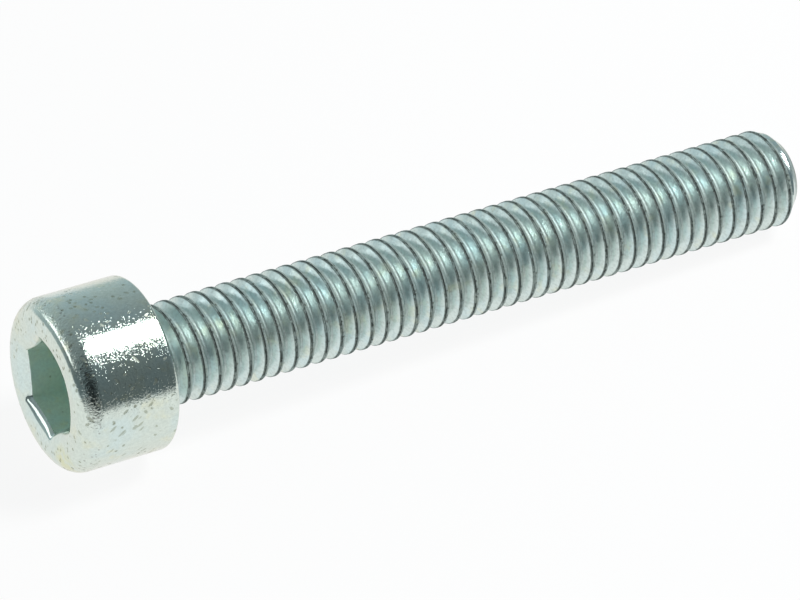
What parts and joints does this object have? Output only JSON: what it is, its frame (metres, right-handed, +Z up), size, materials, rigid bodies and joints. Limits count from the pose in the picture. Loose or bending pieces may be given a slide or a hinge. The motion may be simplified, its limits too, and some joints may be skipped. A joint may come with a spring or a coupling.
{
  "type": "socket head cap screw",
  "caption": "Zinc-plated hexagon-socket cylinder-head screw, with a rounded top edge and a right-hand thread up to the head.",
  "frame": {"origin": "centre of the bearing face under the head, on the screw's axis", "axes": "+X runs along the screw from head to tip, with the axis tilted down by the angle at which it lies on a flat surface; +Z is up"},
  "size_m": [0.04, 0.0082, 0.0085],
  "materials": {
    "zinc_plate": "bright zinc plating on steel, clear blue-white passivated, with fine specks and stains"
  },
  "bodies": {
    "root": {"screw": "zinc_plate"}
  },
  "joints": []
}
